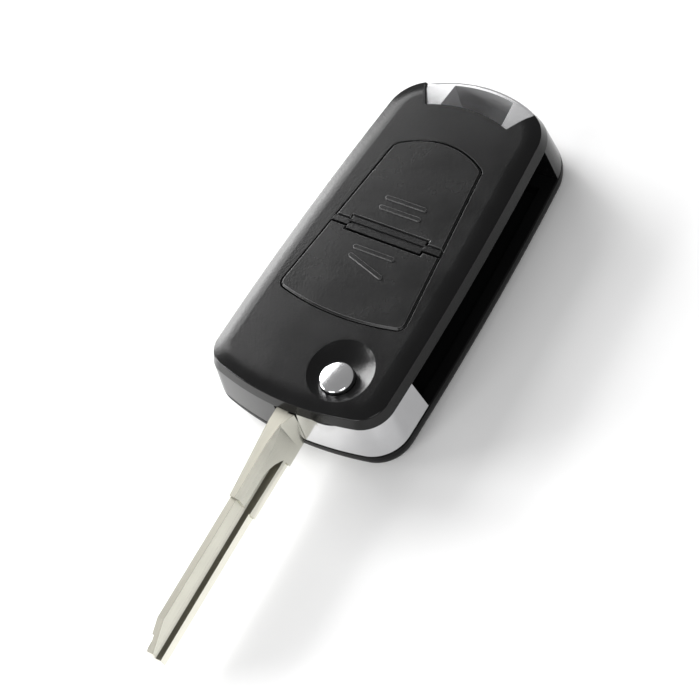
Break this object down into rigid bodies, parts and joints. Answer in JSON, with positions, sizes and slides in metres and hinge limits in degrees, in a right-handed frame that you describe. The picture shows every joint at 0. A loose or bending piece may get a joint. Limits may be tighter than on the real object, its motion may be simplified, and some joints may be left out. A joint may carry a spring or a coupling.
{
  "type": "flip key remote shell",
  "caption": "Flip key remote shell with its blank blade folded out: drafted black plastic fob, button pad, bright release cap, turning silver blade holder and key ring loop",
  "frame": {"origin": "middle of the fob's flat back", "axes": "+Z out of the button face, +Y to the key ring end (the blade points to -Y), +X to the side with the blade slot"},
  "size_m": [0.038, 0.1167, 0.0152],
  "materials": {
    "shell_face": "fine mould grain on the face, smooth glossy side wall",
    "shell_rear": "smooth moulded black plastic",
    "button": "soft matt black with a fine grain",
    "membrane": "moulded rubber",
    "bright_metal": "bright chrome on a die casting",
    "holder_silver": "smooth satin silver",
    "blade_alloy": "nickel silver with fine milling lines",
    "spring_steel": "drawn spring steel",
    "screw_steel": "dark zinc plated steel",
    "inner_plastic": "plain moulded plastic"
  },
  "bodies": {
    "fob": {"front_shell": "shell_face", "rear_shell": "shell_rear", "key_ring_loop": "bright_metal", "button_membrane": "membrane", "board_tray": "inner_plastic", "spring_seat": "inner_plastic", "thrust_washer": "spring_steel", "flip_spring": "spring_steel", "case_screw": "screw_steel"},
    "holder": {"blade_holder": "holder_silver", "blade": "blade_alloy", "blade_roll_pin": "spring_steel"},
    "release": {"release_cap": "bright_metal", "release_plunger": "inner_plastic"},
    "upper_key": {"upper_button": "button"},
    "lower_key": {"lower_button": "button"},
    "cover": {"battery_cover": "shell_rear", "cover_seal": "membrane"}
  },
  "joints": [
    {"name": "blade_flip", "type": "hinge", "parent": "fob", "child": "holder", "pos_m": [0.007, -0.0275, 0.008], "axis": [0, 0, 1], "range_deg": [0, 180], "stiffness_Nm_per_rad": 0.004, "springref_deg": -34.38},
    {"name": "release_press", "type": "slide", "parent": "holder", "child": "release", "axis": [0, 0, -1], "range_m": [0, 0.0018], "stiffness_N_per_m": 300, "springref_m": -0.002, "deforming": ["flip_spring"]},
    {"name": "upper_press", "type": "slide", "parent": "fob", "child": "upper_key", "axis": [0, 0, -1], "range_m": [0, 0.0004], "stiffness_N_per_m": 400, "springref_m": -0.001},
    {"name": "lower_press", "type": "slide", "parent": "fob", "child": "lower_key", "axis": [0, 0, -1], "range_m": [0, 0.0004], "stiffness_N_per_m": 400, "springref_m": -0.001},
    {"name": "cover_lift", "type": "slide", "parent": "fob", "child": "cover", "axis": [0, 0, -1], "range_m": [0, 0.008]}
  ]
}
